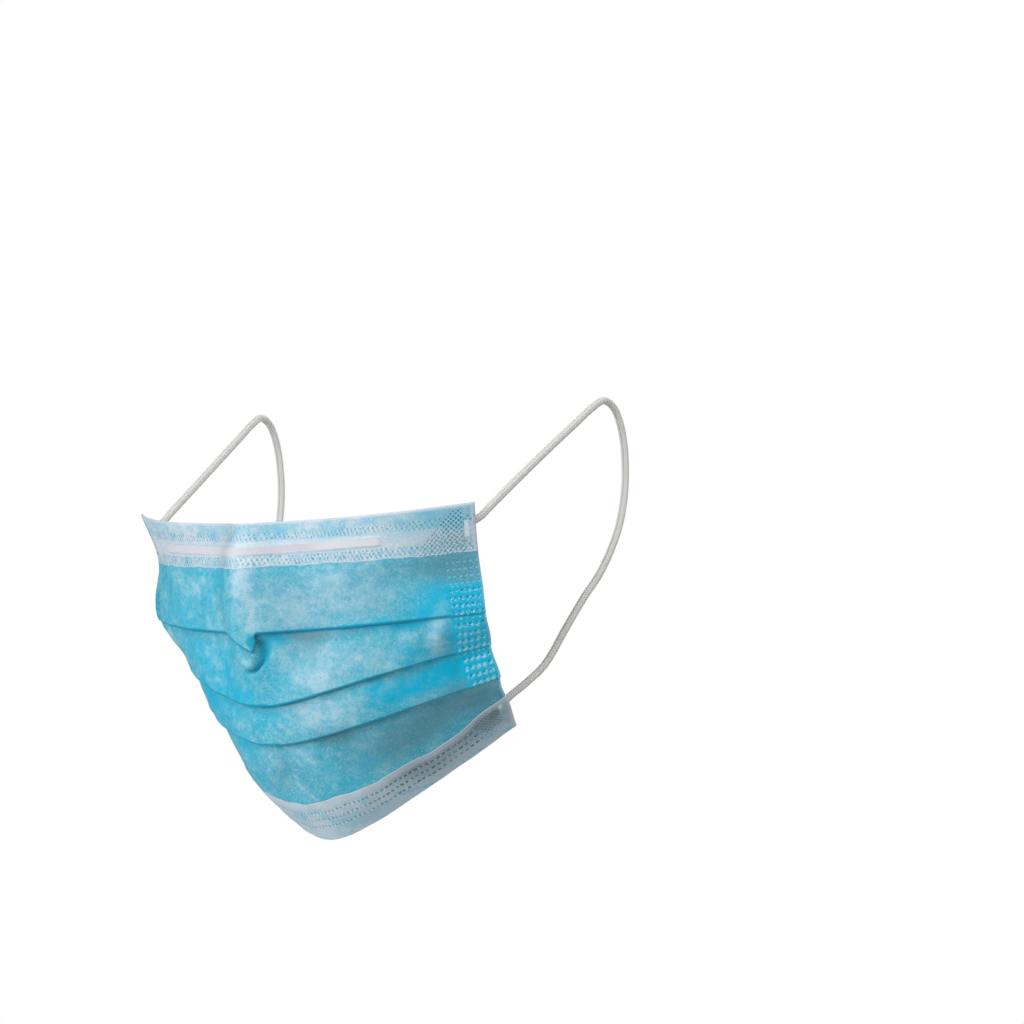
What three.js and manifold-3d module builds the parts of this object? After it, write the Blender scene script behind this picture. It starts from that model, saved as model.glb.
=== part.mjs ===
// A pleated three-ply surgical face mask in its worn shape, with two elastic ear loops.
// Millimetres, +Z up. The mask faces -Y and its left side is +X.
// The origin is the middle of the top edge, where the mask sits on the bridge of the nose.

import * as THREE from 'three';
import * as BufferGeometryUtils from 'three/addons/utils/BufferGeometryUtils.js';
import Module from 'manifold-3d';

const wasm = await Module();
wasm.setup();

// Cloth
const HALF_WIDTH = 87.5; // half of the flat mask, along the cloth
const WALL = 1.0; // thickness of every layer of cloth
const GAP = 0.3; // clear space between two layers that lie on each other
const PITCH = WALL + GAP; // from the middle of one layer to the middle of the next

// The worn surface: one row for each line across the mask, from the top down.
// mid and edge are the line's middle and its side ends. bend and climb say how late the line
// turns back and rises on its way out. nose is how far the bridge stands out of the line.
const ROWS = [
  { name: 'top edge', midY: 0, midZ: 0, edgeX: 73, edgeY: 37, edgeZ: 3.5, bend: 3.0, climb: 2.4, nose: 9, noseWidth: 9 },
  { name: 'top hem', midY: -6, midZ: -15.2, edgeX: 70, edgeY: 42, edgeZ: -13.5, bend: 2.6, climb: 2.2, nose: 12, noseWidth: 10 },
  { name: 'fold 1', midY: -5.5, midZ: -38, edgeX: 72, edgeY: 42, edgeZ: -34.5, bend: 2.4, climb: 1.9, nose: 13, noseWidth: 12 },
  { name: 'fold 2', midY: 6, midZ: -64, edgeX: 66, edgeY: 53.5, edgeZ: -46.5, bend: 2.6, climb: 1.0, nose: 3, noseWidth: 14 },
  { name: 'fold 3', midY: 11.5, midZ: -78, edgeX: 64, edgeY: 60.5, edgeZ: -58.5, bend: 2.2, climb: 1.4, nose: 2, noseWidth: 14 },
  { name: 'bottom hem', midY: 26.5, midZ: -99.5, edgeX: 61, edgeY: 68.5, edgeZ: -66.5, bend: 1.9, climb: 1.8, nose: 0, noseWidth: 14 },
  { name: 'bottom edge', midY: 42, midZ: -114, edgeX: 57, edgeY: 79.5, edgeZ: -77, bend: 1.8, climb: 1.3, nose: 0, noseWidth: 14 },
];
const TOP_HEM_ROW = 1;
const BOTTOM_HEM_ROW = 5;
const SOFT_TIP = 0.2; // how round every line is at its middle

// Knife pleats: the row of the fold, and how far the cloth runs back up behind it
const PLEATS = [
  { row: 2, middleDepth: 5, sideDepth: 10 },
  { row: 3, middleDepth: 5, sideDepth: 10 },
  { row: 4, middleDepth: 4, sideDepth: 9 },
];
const WELD_WIDTH = 11; // the strip at each side edge where the layers are fused
const WELD_INSET = 0.6; // the fused strip starts this far inside the edge

// A small pinch in the cloth beside the nose, under the first fold
const PINCH = { across: 5.5, row: 2.3, wide: 4, tall: 6, deep: 3 };

// Hems
const HEM_RADIUS = PITCH;
const HEM_CENTRE = HEM_RADIUS + WALL / 2; // the hem turns round this point, in from its own edge
const CLOTH_INSET = HEM_CENTRE - 0.2; // the panel's cloth ends this far in from the hem's edge
const BACK_LEAF_SHORTER = 3;
const WAVE = { height: 0.5, length: 23 }; // the bottom hem's free edge

// Nose wire, in the top hem
const WIRE = { length: 110, width: 3, thickness: 0.8, place: 0.63 };
const CHANNEL_RISE = WIRE.thickness + GAP;
const CHANNEL_SLOPE = 1.2;
const CHANNEL_FADE = 5; // the channel closes over this length past the wire's ends

// Where the cross-sections lie between the middle and a side edge, as shares of the half width
const WIRE_REACH = WIRE.length / 2 / HALF_WIDTH;
const WELD_START = 1 - WELD_WIDTH / HALF_WIDTH;
const WELD_END = 1 - WELD_INSET / HALF_WIDTH;
const ZONES = [
  { from: 0, to: WIRE_REACH, steps: 11, crowding: 0.3 },
  { from: WIRE_REACH, to: WELD_START, steps: 4, crowding: 0 },
  { from: WELD_START, to: WELD_END, steps: 2, crowding: 0 },
  { from: WELD_END, to: 1, steps: 1, crowding: 0 },
];

// Ear loops
const CORD_DIAMETER = 2.7;
const CORD_SIDES = 8;
const CORD_STEPS = 34;
// The left loop's middle line: from the weld at the top corner, over and behind the ear, and
// back to the weld at the bottom corner
const LOOP_ROUTE = [
  [65.2, 39.6, -7.3],
  [66.6, 40.3, -5.2],
  [68.6, 41.8, -3.2],
  [70.4, 44.0, -1.6],
  [71.2, 50.0, 2.0],
  [72.2, 64.0, 9.6],
  [73.6, 82.0, 19.2],
  [75.2, 100.0, 28.6],
  [76.2, 110.0, 33.8],
  [76.8, 116.5, 35.8],
  [77.2, 122.0, 33.0],
  [77.4, 125.8, 26.0],
  [77.4, 127.4, 16.0],
  [77.2, 126.6, 4.0],
  [76.8, 122.8, -8.0],
  [76.2, 116.4, -18.0],
  [75.4, 108.8, -26.4],
  [74.2, 101.0, -33.2],
  [71.8, 93.2, -42.4],
  [66.8, 84.0, -56.2],
  [62.4, 77.8, -62.2],
  [58.8, 73.8, -66.0],
  [56.0, 71.8, -69.0],
  [53.8, 70.4, -71.8],
];

const COLOURS = {
  cloth: 0x63bfdb,
  hem: 0xb4d2dd,
  wire: 0xe8e3e8,
  cord: 0xd2d2cf,
};

function mix(from, to, share) {
  return from + (to - from) * share;
}

// 0 at the middle of the mask and 1 at its side edges, rising later for a higher power
function ease(across, power) {
  const start = SOFT_TIP ** power;
  const end = (1 + SOFT_TIP ** 2) ** (power / 2);
  return ((across ** 2 + SOFT_TIP ** 2) ** (power / 2) - start) / (end - start);
}

// A point of one row's line; across runs from -1 at the right edge to 1 at the left edge
function rowPoint(row, across) {
  const x = row.edgeX * across;
  const bridge = row.nose * (1 - Math.exp(-((x / row.noseWidth) ** 2)));
  const back = (row.edgeY - row.midY - row.nose) * ease(across, row.bend);
  const rise = (row.edgeZ - row.midZ) * ease(across, row.climb);
  return new THREE.Vector3(x, row.midY + bridge + back, row.midZ + rise);
}

function pinch(across, level) {
  const sideways = (across * HALF_WIDTH - PINCH.across) / PINCH.wide;
  const down = ((level - PINCH.row) * 20) / PINCH.tall;
  return PINCH.deep * Math.exp(-(sideways ** 2) - down ** 2);
}

// The smooth surface through all rows; level counts the rows from 0 at the top edge
function surfacePoint(across, level) {
  const last = ROWS.length - 1;
  const start = Math.min(Math.max(Math.floor(level), 0), last - 1);
  const spots = [start - 1, start, start + 1, start + 2].map((index) => {
    const inside = Math.min(Math.max(index, 0), last);
    return rowPoint(ROWS[inside], across);
  });
  const ends = [start === 0, start === last - 1];
  const share = level - start;
  const between = new THREE.Vector3();
  for (const axis of ['x', 'y', 'z']) {
    const [before, from, to, after] = spots.map((spot) => spot[axis]);
    const leave = ends[0] ? to - from : (to - before) / 2;
    const arrive = ends[1] ? to - from : (after - from) / 2;
    const square = share ** 2;
    const cube = share ** 3;
    between[axis] =
      (2 * cube - 3 * square + 1) * from +
      (cube - 2 * square + share) * leave +
      (3 * square - 2 * cube) * to +
      (cube - square) * arrive;
  }
  between.y += pinch(across, level);
  return between;
}

// One cross-section of the mask, measured down along its surface from the top edge
class Column {
  constructor(across) {
    this.across = across;
    this.marks = [{ level: 0, distance: 0 }];
    const steps = 20 * (ROWS.length - 1);
    let before = surfacePoint(across, 0);
    for (let step = 1; step <= steps; step += 1) {
      const level = step / 20;
      const point = surfacePoint(across, level);
      const distance = this.marks.at(-1).distance + point.distanceTo(before);
      this.marks.push({ level, distance });
      before = point;
    }
    this.length = this.marks.at(-1).distance;
  }

  distanceTo(row) {
    return this.marks[row * 20].distance;
  }

  levelAt(distance) {
    const next = this.marks.findIndex((mark) => mark.distance >= distance);
    if (next <= 0) {
      return 0;
    }
    const from = this.marks[next - 1];
    const to = this.marks[next];
    const share = (distance - from.distance) / (to.distance - from.distance);
    return mix(from.level, to.level, share);
  }

  // The point that lies this far down the cloth and this far out from its surface
  place(distance, offset) {
    const inside = Math.min(Math.max(distance, 0), this.length - 1e-6);
    const level = this.levelAt(inside);
    const step = 0.02;
    const above = surfacePoint(this.across, Math.max(level - step, 0));
    const below = surfacePoint(this.across, Math.min(level + step, ROWS.length - 1));
    const rightward = surfacePoint(this.across - step, level);
    const leftward = surfacePoint(this.across + step, level);
    const down = below.sub(above).normalize();
    const over = leftward.sub(rightward);
    const out = new THREE.Vector3().crossVectors(down, over).normalize();
    return surfacePoint(this.across, level)
      .addScaledVector(down, distance - inside)
      .addScaledVector(out, offset);
  }

  pleatDepth(pleat) {
    return mix(pleat.middleDepth, pleat.sideDepth, this.across ** 2);
  }
}

// The places of the cross-sections, closer together at the nose
function acrossValues() {
  const half = ZONES.flatMap((zone) => {
    return Array.from({ length: zone.steps }, (_, index) => {
      const even = (index + 1) / zone.steps;
      const eased = even * (1 - zone.crowding + zone.crowding * even ** 2);
      return mix(zone.from, zone.to, eased);
    });
  });
  return [...half.map((across) => -across).reverse(), 0, ...half];
}

const COLUMNS = acrossValues().map((across) => new Column(across));

function columnsBetween(from, to) {
  const slack = 1e-6;
  return COLUMNS.filter(({ across }) => across > from - slack && across < to + slack);
}

// The outline of a strip of even thickness round a middle line of (distance, offset) points
function thicken(path, wall) {
  const sides = path.map((point, index) => {
    const before = path[index - 1] ?? point.clone().sub(path[index + 1].clone().sub(point));
    const after = path[index + 1] ?? point.clone().add(point.clone().sub(path[index - 1]));
    const arriving = point.clone().sub(before).normalize();
    const leaving = after.clone().sub(point).normalize();
    const arrivingSide = new THREE.Vector2(-arriving.y, arriving.x);
    const leavingSide = new THREE.Vector2(-leaving.y, leaving.x);
    const miter = arrivingSide.add(leavingSide).normalize();
    return miter.multiplyScalar(wall / 2 / miter.dot(leavingSide));
  });
  const upper = path.map((point, index) => point.clone().add(sides[index]));
  const lower = path.map((point, index) => point.clone().sub(sides[index]));
  return [...lower, ...upper.reverse()];
}

// A half turn in steps of 60 degrees, starting at the given angle
function halfTurn(distance, offset, radius, startAngle, direction) {
  return [0, 60, 120, 180].map((turned) => {
    const angle = THREE.MathUtils.degToRad(startAngle + direction * turned);
    return new THREE.Vector2(distance + radius * Math.cos(angle), offset + radius * Math.sin(angle));
  });
}

// Points on the visible face of one panel, whose upper end lies under the fold above it
function panelPoints(start, end, sunk, shares) {
  return shares.map((share) => new THREE.Vector2(mix(start, end, share), mix(sunk, 0, share)));
}

// The middle line of the folded cloth in one column
function clothPath(column) {
  const path = panelPoints(CLOTH_INSET, column.distanceTo(TOP_HEM_ROW), 0, [0, 0.5, 1]);
  let start = column.distanceTo(TOP_HEM_ROW);
  let sunk = 0;
  const radius = PITCH / 2;
  for (const pleat of PLEATS) {
    const fold = column.distanceTo(pleat.row);
    const crease = fold - column.pleatDepth(pleat);
    const faceAtCrease = mix(sunk, 0, (crease - start) / (fold - start));
    path.push(...panelPoints(start, fold, sunk, [0.35, 0.7]));
    path.push(...halfTurn(fold - radius, -radius, radius, 90, -1));
    path.push(...halfTurn(crease + radius, faceAtCrease - 3 * radius, radius, 90, 1));
    start = fold;
    sunk = -2 * PITCH;
    path.push(new THREE.Vector2(start, sunk));
  }
  path.push(...panelPoints(start, column.distanceTo(BOTTOM_HEM_ROW), sunk, [0.35, 0.7, 1]));
  const end = column.length - CLOTH_INSET;
  path.push(...panelPoints(column.distanceTo(BOTTOM_HEM_ROW), end, 0, [0.5, 1]));
  return path;
}

// The block that fuses one pleat's three layers, from the middle of the outer to the inner one's
function weldOutline(column, index) {
  const pleat = PLEATS[index];
  const fold = column.distanceTo(pleat.row);
  const depth = column.pleatDepth(pleat);
  const start = column.distanceTo(index === 0 ? TOP_HEM_ROW : PLEATS[index - 1].row);
  const sunk = index === 0 ? 0 : -2 * PITCH;
  const face = (distance) => mix(sunk, 0, (distance - start) / (fold - start));
  const top = fold - depth + 0.4;
  const bottom = fold - 0.4;
  return [
    new THREE.Vector2(top, face(top) - 2 * PITCH),
    new THREE.Vector2(bottom, face(bottom) - 2 * PITCH),
    new THREE.Vector2(bottom, face(bottom)),
    new THREE.Vector2(top, face(top)),
  ];
}

// How far the top hem stands out over the wire: 1 along the wire, 0 past its ends
function channelShare(across) {
  const past = Math.abs(across) * HALF_WIDTH - WIRE.length / 2 - 2;
  return 1 - THREE.MathUtils.smoothstep(past, 0, CHANNEL_FADE);
}

function topHemPath(column) {
  const width = column.distanceTo(TOP_HEM_ROW);
  const wire = width * WIRE.place;
  const rise = PITCH + CHANNEL_RISE * channelShare(column.across);
  const flat = WIRE.width / 2 + 0.5;
  return [
    new THREE.Vector2(width, PITCH),
    new THREE.Vector2(wire + flat + CHANNEL_SLOPE, PITCH),
    new THREE.Vector2(wire + flat, rise),
    new THREE.Vector2(wire - flat, rise),
    new THREE.Vector2(wire - flat - CHANNEL_SLOPE, PITCH),
    ...halfTurn(HEM_CENTRE, 0, HEM_RADIUS, 90, 1),
    new THREE.Vector2(width / 2, -PITCH),
    new THREE.Vector2(width - BACK_LEAF_SHORTER, -PITCH),
  ];
}

function bottomHemPath(column) {
  const wave = WAVE.height * Math.sin((column.across * HALF_WIDTH * 2 * Math.PI) / WAVE.length);
  const from = column.distanceTo(BOTTOM_HEM_ROW) + wave;
  const end = column.length;
  return [
    new THREE.Vector2(from + BACK_LEAF_SHORTER, -PITCH),
    new THREE.Vector2((from + end) / 2, -PITCH),
    ...halfTurn(end - HEM_CENTRE, 0, HEM_RADIUS, -90, 1),
    new THREE.Vector2((from + end) / 2, PITCH),
    new THREE.Vector2(from, PITCH),
  ];
}

function wireOutline(column) {
  const centre = column.distanceTo(TOP_HEM_ROW) * WIRE.place;
  const bottom = WALL / 2 + GAP;
  return [
    new THREE.Vector2(centre - WIRE.width / 2, bottom),
    new THREE.Vector2(centre + WIRE.width / 2, bottom),
    new THREE.Vector2(centre + WIRE.width / 2, bottom + WIRE.thickness),
    new THREE.Vector2(centre - WIRE.width / 2, bottom + WIRE.thickness),
  ];
}

// Joins the same outline in every column into one closed body
function loft(columns, outlineOf) {
  const outlines = columns.map(outlineOf);
  const count = outlines[0].length;
  const positions = outlines.flatMap((outline, index) => {
    return outline.flatMap((point) => columns[index].place(point.x, point.y).toArray());
  });
  const triangles = [];
  for (let column = 0; column < columns.length - 1; column += 1) {
    for (let corner = 0; corner < count; corner += 1) {
      const here = column * count + corner;
      const next = column * count + ((corner + 1) % count);
      triangles.push(here, next + count, next, here, here + count, next + count);
    }
  }
  const lastColumn = (columns.length - 1) * count;
  for (const [a, b, c] of THREE.ShapeUtils.triangulateShape(outlines[0], [])) {
    triangles.push(a, b, c);
  }
  for (const [a, b, c] of THREE.ShapeUtils.triangulateShape(outlines.at(-1), [])) {
    triangles.push(lastColumn + c, lastColumn + b, lastColumn + a);
  }
  const geometry = new THREE.BufferGeometry();
  geometry.setAttribute('position', new THREE.Float32BufferAttribute(positions, 3));
  geometry.setIndex(triangles);
  return geometry;
}

function toSolid(geometry) {
  const bare = geometry.clone();
  bare.deleteAttribute('normal');
  bare.deleteAttribute('uv');
  const merged = BufferGeometryUtils.mergeVertices(bare, 1e-4);
  const vertProperties = new Float32Array(merged.getAttribute('position').array);
  const triVerts = new Uint32Array(merged.getIndex().array);
  return new wasm.Manifold(new wasm.Mesh({ numProp: 3, vertProperties, triVerts }));
}

function toGeometry(solid) {
  const mesh = solid.getMesh();
  const geometry = new THREE.BufferGeometry();
  geometry.setAttribute('position', new THREE.BufferAttribute(mesh.vertProperties, 3));
  geometry.setIndex(new THREE.BufferAttribute(mesh.triVerts, 1));
  return geometry;
}

// The folded cloth, with its pleats fused at both side edges
function outerPanelGeometry() {
  let panel = toSolid(loft(COLUMNS, (column) => thicken(clothPath(column), WALL)));
  for (const index of PLEATS.keys()) {
    for (const [from, to] of [[-WELD_END, -WELD_START], [WELD_START, WELD_END]]) {
      const weld = loft(columnsBetween(from, to), (column) => weldOutline(column, index));
      panel = panel.add(toSolid(weld));
    }
  }
  return toGeometry(panel);
}

function hemGeometry(pathOf) {
  return loft(COLUMNS, (column) => thicken(pathOf(column), WALL));
}

function noseWireGeometry() {
  return loft(columnsBetween(-WIRE_REACH, WIRE_REACH), wireOutline);
}

// side is 1 for the left loop and -1 for the right one
function earLoopGeometry(side) {
  const points = LOOP_ROUTE.map(([x, y, z]) => new THREE.Vector3(side * x, y, z));
  const corners = Array.from({ length: CORD_SIDES }, (_, index) => {
    const angle = (2 * Math.PI * index) / CORD_SIDES;
    return new THREE.Vector2(Math.cos(angle), Math.sin(angle)).multiplyScalar(CORD_DIAMETER / 2);
  });
  return new THREE.ExtrudeGeometry(new THREE.Shape(corners), {
    steps: CORD_STEPS,
    extrudePath: new THREE.CatmullRomCurve3(points, false, 'centripetal'),
  });
}

function piece(name, geometry, colour, roughness) {
  const material = new THREE.MeshStandardMaterial({ color: colour, roughness, metalness: 0 });
  const mesh = new THREE.Mesh(geometry, material);
  mesh.name = name;
  return mesh;
}

const mask = new THREE.Group();
mask.add(piece('outer_panel', outerPanelGeometry(), COLOURS.cloth, 0.8));
mask.add(piece('top_hem', hemGeometry(topHemPath), COLOURS.hem, 0.8));
mask.add(piece('bottom_hem', hemGeometry(bottomHemPath), COLOURS.hem, 0.8));
mask.add(piece('nose_wire', noseWireGeometry(), COLOURS.wire, 0.5));
mask.add(piece('ear_loop_left', earLoopGeometry(1), COLOURS.cord, 0.9));
mask.add(piece('ear_loop_right', earLoopGeometry(-1), COLOURS.cord, 0.9));

export default mask;
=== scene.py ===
# A pleated surgical face mask in its worn shape, with nonwoven cloth, weld marks and elastic.
# Metres, +Z up. The mask faces -Y and its left side is +X.

import math

import bpy
import numpy as np
from mathutils import Matrix, Vector


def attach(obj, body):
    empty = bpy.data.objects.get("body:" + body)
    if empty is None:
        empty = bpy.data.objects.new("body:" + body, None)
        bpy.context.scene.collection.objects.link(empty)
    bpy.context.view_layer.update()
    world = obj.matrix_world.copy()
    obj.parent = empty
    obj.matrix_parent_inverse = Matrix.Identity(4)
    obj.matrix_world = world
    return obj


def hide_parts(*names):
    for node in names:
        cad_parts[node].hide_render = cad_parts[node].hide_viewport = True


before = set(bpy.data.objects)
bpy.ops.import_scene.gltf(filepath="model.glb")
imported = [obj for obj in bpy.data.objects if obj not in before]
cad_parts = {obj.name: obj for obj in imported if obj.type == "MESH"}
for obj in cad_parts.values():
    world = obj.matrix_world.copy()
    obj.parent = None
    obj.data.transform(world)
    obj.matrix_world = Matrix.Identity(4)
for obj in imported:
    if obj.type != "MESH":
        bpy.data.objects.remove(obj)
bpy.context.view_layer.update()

MM = 0.001

# Camera
FRAME_PIXELS = 1024
SENSOR_WIDTH = 36.0
CAMERA_AZIMUTH = 34.0
CAMERA_ELEVATION = 1.5
CAMERA_ROLL = -3.0
CAMERA_DISTANCE = 1.5
PIXELS_PER_METRE = 2900.0
BRIDGE_PIXEL = (240.0, 524.0)  # where the middle of the top edge lies in the picture
VIEW_REACH = 20.0

# Stage
MASK_CENTRE = Vector((0.0, 0.02, -0.05))
FLOOR_HALF = 1.3
FLOOR_HEIGHT = -1.0
FLOOR_ROUGHNESS = 0.9
AMBIENT = 0.24
AMBIENT_SLOPE = (0.0, -0.24, 0.05)  # more of it comes from the front and a little from above
LIGHTS = [
    # name, azimuth, elevation, distance, size, power
    ("key", -8, 16, 1.6, 0.8, 18.0),
    ("corner", 95, 45, 1.6, 0.8, 12.5),
    ("back", 180, 30, 1.8, 1.2, 18.0),
]

# Cloth
HALF_WIDTH = 87.5 * MM
PLY = 0.42 * MM  # thickness of the bonded cloth
HEM_PLY = 0.22 * MM
HEM_LIFT = 0.38 * MM  # from the middle of the panel's cloth to the middle of a hem's leaf
LAYER_PITCH = 1.05 * MM  # between the layers of a pleat where they stand free
WELDED_PITCH = 0.44 * MM  # and where they are fused
WELD_WIDTH = 11 * MM
WELD_ROWS = (2.45 * MM, 3.9 * MM, 3.2 * MM)  # height of one row of the weld grid on each panel
WELD_REACH = (9.8, 8.9, 8.2)  # and how many millimetres the grid reaches in from the side edge
WELD_FADE = 8 * MM  # beyond the fused strip, until the layers stand free
PILLOW = 0.25 * MM  # how far a panel stands proud between its folds
HEM_SHORTER = 2 * MM  # by how much the back of a hem is narrower than its front

# The meshes: columns across the mask, lines down each of their stretches
PANEL_COLUMNS = 175
PANEL_LINES = (58, 48, 32)
LAST_PANEL_LINES = (36, 16)
CREASE_LINES = 6
FOLD_LINES = 9
INNER_FOLD_LINES = 7
HEM_COLUMNS = 241
TOP_HEM_LINES = 74
BOTTOM_HEM_LINES = 50
HEM_BACK_LINES = 24
WIRE_COLUMNS = 121
WIRE_LINES = 13
# Half of the mask's width is 1; these shares of the columns lie up to these places
COLUMN_SHARES = (0.0, 0.36, 0.63, 1.0)
COLUMN_PLACES = (-1.0, -0.08, 0.16, 1.0)

# The worn surface, one row for each line across the mask from the top down
ROWS = [
    # mid y, mid z, edge x, edge y, edge z, bend, climb, nose, nose width
    (0.0, 0.0, 73.0, 37.0, 3.5, 3.0, 2.4, 9.0, 9.0),
    (-6.0, -15.2, 70.0, 42.0, -13.5, 2.6, 2.2, 12.0, 10.0),
    (-5.5, -38.0, 72.0, 42.0, -34.5, 2.4, 1.9, 13.0, 12.0),
    (6.0, -64.0, 66.0, 53.5, -46.5, 2.6, 1.0, 3.0, 14.0),
    (11.5, -78.0, 64.0, 60.5, -58.5, 2.2, 1.4, 2.0, 14.0),
    (26.5, -99.5, 61.0, 68.5, -66.5, 1.9, 1.8, 0.0, 14.0),
    (42.0, -114.0, 57.0, 79.5, -77.0, 1.8, 1.3, 0.0, 14.0),
]
SOFT_TIP = 0.2
TOP_HEM_ROW = 1
BOTTOM_HEM_ROW = 5

# Knife pleats: row of the fold, depth at the middle and at the sides
FIRST_FOLD = 2
PLEATS = [
    (FIRST_FOLD, 5 * MM, 10 * MM),
    (3, 5 * MM, 10 * MM),
    (4, 4 * MM, 9 * MM),
]
FOLD_RADIUS = 0.62 * MM  # of the visible fold, at most

# The small buckle beside the nose, in millimetres from the middle and down from the top edge
PINCH_MIDDLE = (-2.0, 41.0)
PINCH_DEPTH = 3.0
FIRST_FOLD_DOWN = 39.2  # how far down the first fold lies there

# The beak of the first fold above the buckle: its depth, and where it sets in and ends again
BEAK_DEPTH = 6.6 * MM
BEAK_SETS_IN = (-9.0, 5.2)
BEAK_ENDS = (5.0, 7.3)

# The puff beside the left weld grid: millimetres from the middle and row, half sizes, height
PUFF_MIDDLE = (74.0, 2.5)
PUFF_HALF = (3.4, 0.38)
PUFF_HEIGHT = 1.8

# Places where the cloth is made paler, deeper or greyer: millimetres from the middle and down from
# the top edge, half width and half height of the patch, amount. Most are the cloth's uneven tone,
# but some are painted light: the paler nose ridge and puff are painted highlights, the greyer
# patches towards the near side and the bottom are painted shade, and the deeper and greyer strips
# just under the first fold are painted shadow.
PANEL_TINTS_AND_LIGHT = {
    "paler": (
        (3, 18, 3.5, 8, 1.0), (6, 30, 4, 9, 0.7), (18, 30, 12, 12, 0.45), (40, 29, 14, 8, 0.5),
        (44, 20, 9, 5, 0.3), (15, 50, 4, 4, 0.5), (36, 46, 10, 3.5, 0.6),
        (44, 50, 9, 3.5, 0.8), (29, 55, 11, 4, 0.9), (72.6, 45, 2.6, 6, 1.0),
        (26, 68, 12, 5, 1.0), (14, 87, 5, 4, 0.4),
    ),
    "deeper": (
        (-13, 20, 5, 7, 0.6), (-50, 32, 16, 9, 0.4), (68, 36, 6, 4, 0.6), (74, 31, 6, 6, 0.7),
        (-19, 52, 9, 9, 0.7), (-42, 46, 14, 6, 0.5), (-9, 64, 12, 5, 0.9), (12, 57, 4, 3, 0.5),
        (53, 38.5, 8, 2.5, 1.0), (62, 41, 6, 2.5, 0.8), (64, 52, 4, 5, 0.8),
        (77.6, 47, 2, 6, 0.9), (12.5, 40.7, 7, 2.2, 1.0), (-42, 63, 14, 8, 1.0),
        (51, 61, 6, 4, 0.8), (54, 67, 5, 3, 0.8), (63, 64, 9, 4, 1.0), (77, 61, 10, 6, 1.0),
        (6, 72, 9, 3, 0.4), (-27, 80, 12, 6, 0.8), (39, 91, 7, 4, 0.3),
    ),
    "greyer": (
        (20, 28, 12, 12, 0.5), (44, 27, 14, 8, 0.35), (62, 20, 14, 5, 0.5),
        (54, 31, 9, 7, 0.3), (80, 22, 13, 8, 1.0), (23, 44, 9, 4, 0.5),
        (24, 40.3, 8, 2.3, 0.8), (30, 79, 10, 4, 1.0), (40, 90, 14, 7, 0.7),
        (57, 83, 14, 8, 1.0), (78, 77, 15, 7, 1.0), (-4, 97, 14, 7, 0.6),
    ),
}
# On the top hem the paler patch at the nose is a painted highlight and the greyer one at the near
# corner painted shade; on the bottom hem the greyer patches towards the near side are painted
# shade
TOP_HEM_TINTS_AND_LIGHT = {
    "paler": ((3, 12, 4, 8, 0.5), (-78, 8, 10, 12, 0.4)),
    "deeper": ((76, 4, 16, 5, 0.8), (14, 3, 7, 3, 0.8), (36, 4, 5, 3, 0.6), (-20, 3, 12, 3, 0.5)),
    "greyer": ((80, 14, 12, 5, 1.0),),
}
BOTTOM_HEM_TINTS_AND_LIGHT = {
    "paler": (),
    "deeper": ((20, 116, 20, 4, 0.6),),
    "greyer": ((76, 88, 14, 9, 1.0), (54, 98, 14, 8, 0.9)),
}

# Nose wire
WIRE_REACH = 56.2 * MM
WIRE_WIDTH = 3 * MM
WIRE_THICKNESS = 0.5 * MM
WIRE_PLACE = 0.59  # share of the hem's width above the middle of the wire
WIRE_SAG = 0.045
WIRE_SAG_REACH = 28 * MM
WIRE_SHORTER = 0.004  # share of half the mask's width by which it stops short of its channel
WIRE_NARROWER = 0.3 * MM  # and by how much it is narrower and thinner than its ridge
WIRE_THINNER = 0.1 * MM

# Ear loops
CORD_DIAMETER = 2.7 * MM
CORD_STEP = 0.5 * MM  # between the rings of its mesh
CORD_SIDES = 24
LOOP_ROUTE = [
    (65.2, 39.6, -7.3),
    (66.6, 40.3, -5.2),
    (68.6, 41.8, -3.2),
    (70.4, 44.0, -1.6),
    (71.2, 50.0, 2.0),
    (72.2, 64.0, 9.6),
    (73.6, 82.0, 19.2),
    (75.2, 100.0, 28.6),
    (76.2, 110.0, 33.8),
    (76.8, 116.5, 35.8),
    (77.2, 122.0, 33.0),
    (77.4, 125.8, 26.0),
    (77.4, 127.4, 16.0),
    (77.2, 126.6, 4.0),
    (76.8, 122.8, -8.0),
    (76.2, 116.4, -18.0),
    (75.4, 108.8, -26.4),
    (74.2, 101.0, -33.2),
    (71.8, 93.2, -42.4),
    (66.8, 84.0, -56.2),
    (62.4, 77.8, -62.2),
    (58.8, 73.8, -66.0),
    (56.0, 71.8, -69.0),
    (53.8, 70.4, -71.8),
]

# Fine patterns of the materials: pitches in millimetres across and down, relief in metres
BOND_PITCH = (1.7, 1.3)
WELD_PITCH = 1.7
DOT_PITCH = (1.65, 2.6)
HATCH_PITCH = (1.5, 1.75)
DASH_PITCH = 2.1
STITCH_PITCH = 0.85
CORD_WALES = 9  # columns of stitches round the cord
DASH_START = 0.155  # the rows of dashes, in shares of the hem's width
DASH_END = 0.725
DASH_ROW_PITCH = 0.19
PANEL_RELIEF = 0.16 * MM
HEM_RELIEF = 0.14 * MM
CORD_RELIEF = 0.12 * MM
WIRE_RELIEF = 0.05 * MM
SHEEN_ROUGHNESS = 0.5
SPECULAR_LEVEL = 0.12


# Camera


def towards(azimuth, elevation):
    """The direction from the mask to this azimuth and elevation in degrees."""
    a, e = math.radians(azimuth), math.radians(elevation)
    return Vector((math.sin(a) * math.cos(e), -math.cos(a) * math.cos(e), math.sin(e)))


def camera_axes():
    """Back, right and up of the camera, from its azimuth, elevation and roll."""
    back = towards(CAMERA_AZIMUTH, CAMERA_ELEVATION)
    level = towards(CAMERA_AZIMUTH + 90.0, 0.0)
    upright = back.cross(level)
    roll = math.radians(CAMERA_ROLL)
    right = level * math.cos(roll) + upright * math.sin(roll)
    up = upright * math.cos(roll) - level * math.sin(roll)
    return back, right, up


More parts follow.
